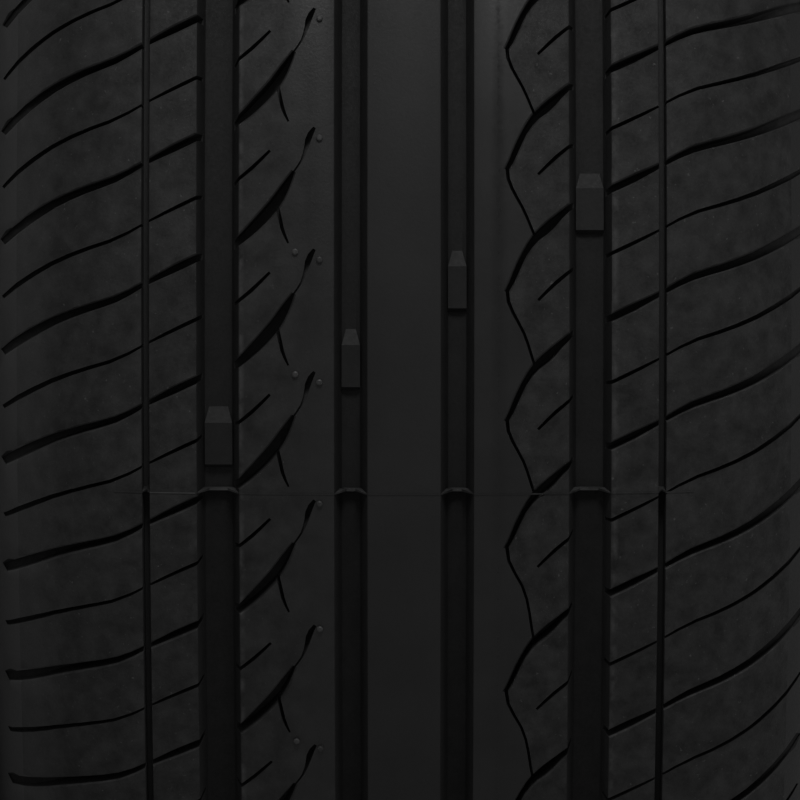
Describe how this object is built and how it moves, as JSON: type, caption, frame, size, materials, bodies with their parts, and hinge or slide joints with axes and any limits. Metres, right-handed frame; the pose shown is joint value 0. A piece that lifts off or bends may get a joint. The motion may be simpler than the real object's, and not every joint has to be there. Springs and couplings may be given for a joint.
{
  "type": "car tyre",
  "caption": "Radial summer tyre for a passenger car, moulded in one piece, with straight grooves, angled shoulder slots and an open bead bore.",
  "frame": {"origin": "centre of the tyre, on its axis and midway between its sidewalls", "axes": "+Z along the tyre's axis, which stands upright because the tyre lies on a sidewall; -Y points out through the stretch of tread that the picture shows"},
  "size_m": [0.6319, 0.632, 0.214],
  "materials": {
    "tyre": "matt black rubber, a little dusty on the tread"
  },
  "bodies": {
    "root": {"tyre": "tyre"}
  },
  "joints": []
}
